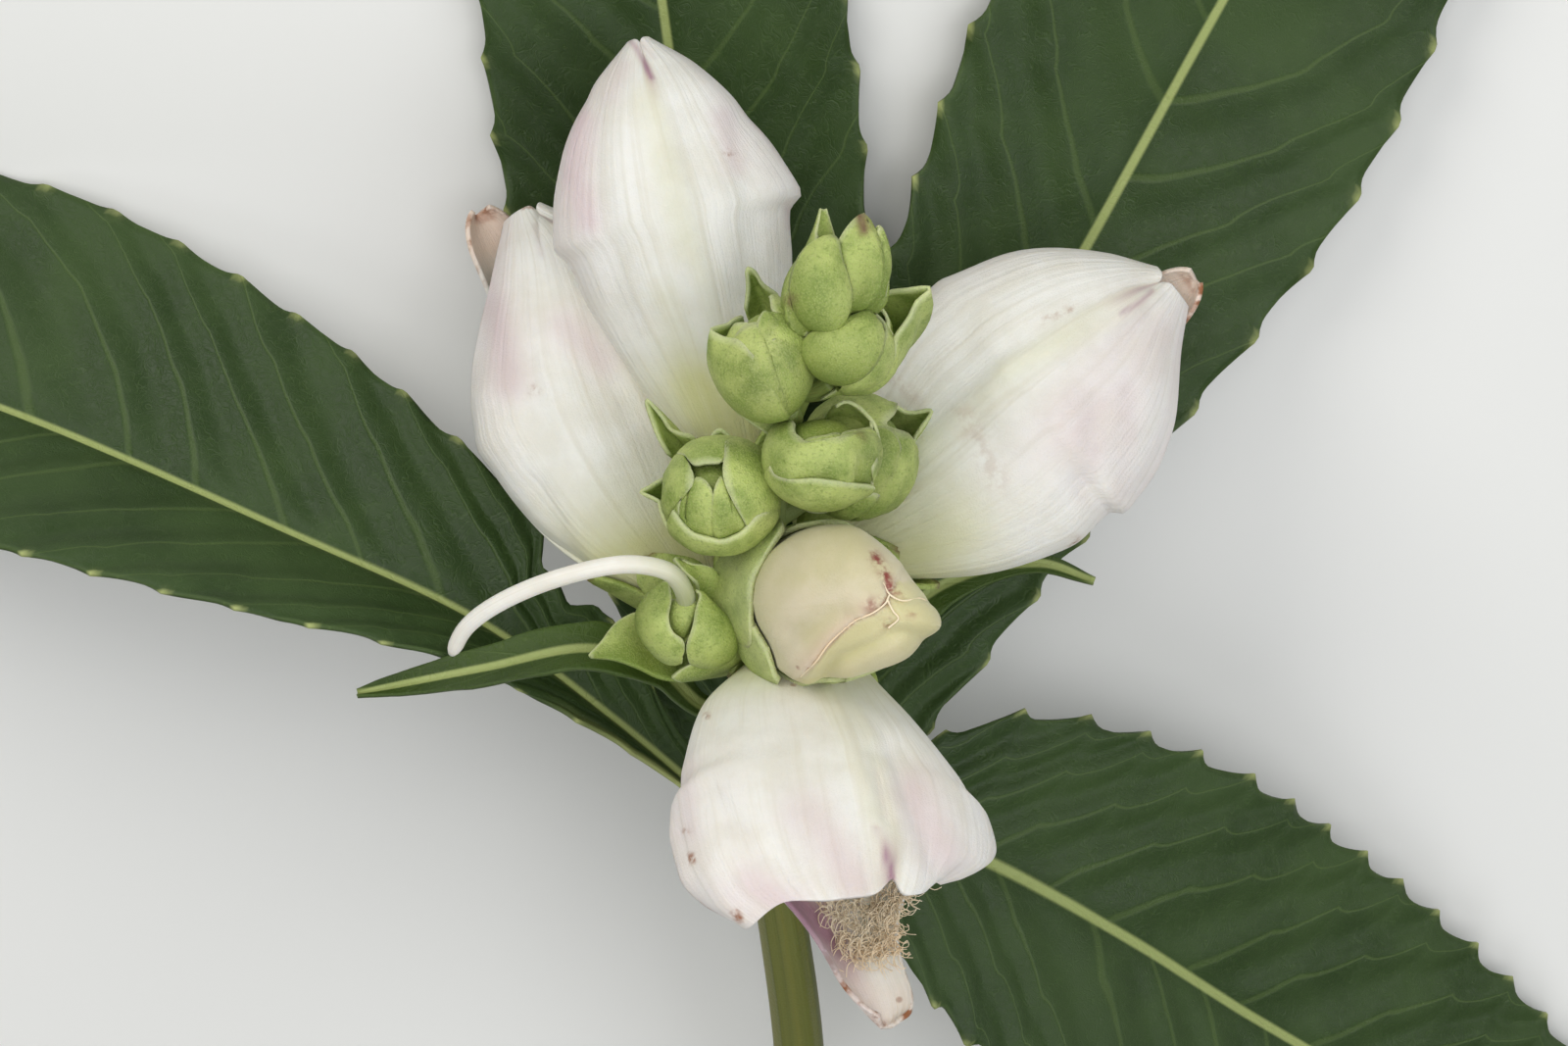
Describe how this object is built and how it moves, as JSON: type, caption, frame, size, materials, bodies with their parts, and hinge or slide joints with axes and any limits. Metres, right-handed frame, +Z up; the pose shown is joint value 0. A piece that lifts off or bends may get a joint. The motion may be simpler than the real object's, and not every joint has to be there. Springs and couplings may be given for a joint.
{
  "type": "pink turtlehead",
  "caption": "Cut flowering stem of pink turtlehead lying down, with near-white two-lipped corollas, a spike of green buds and dark toothed leaves",
  "frame": {"origin": "centre of the lying stem's outer box, on the surface it rests on", "axes": "+Z up from the surface, the flower spike points to +Y and the cut end of the stem to -Y, +X to the right seen from above with the spike away from the viewer"},
  "size_m": [0.1866, 0.1942, 0.0602],
  "materials": {
    "petal_white": "satin, slightly translucent petal",
    "petal_young": "satin unopened petal",
    "bud_green": "matt, finely granular sepal",
    "leaf_green": "satin, veined leaf",
    "stem_green": "satin, ridged stem",
    "style_white": "satin style"
  },
  "bodies": {
    "root": {"stem": "stem_green", "leaf_left": "leaf_green", "leaf_right": "leaf_green", "leaf_back": "leaf_green", "leaf_back_right": "leaf_green", "bract_leaf_left": "leaf_green", "bract_leaf_right": "leaf_green", "corolla_top": "petal_white", "corolla_left": "petal_white", "corolla_right": "petal_white", "corolla_bottom": "petal_white", "calyx_top": "bud_green", "calyx_left": "bud_green", "calyx_right": "bud_green", "calyx_bottom": "bud_green", "young_corolla": "petal_young", "calyx_young": "bud_green", "bud_tip": "bud_green", "bud_upper_left": "bud_green", "bud_upper_right": "bud_green", "bud_right": "bud_green", "bud_far_right": "bud_green", "bud_left": "bud_green", "calyx_spent": "bud_green", "style": "style_white"}
  },
  "joints": []
}
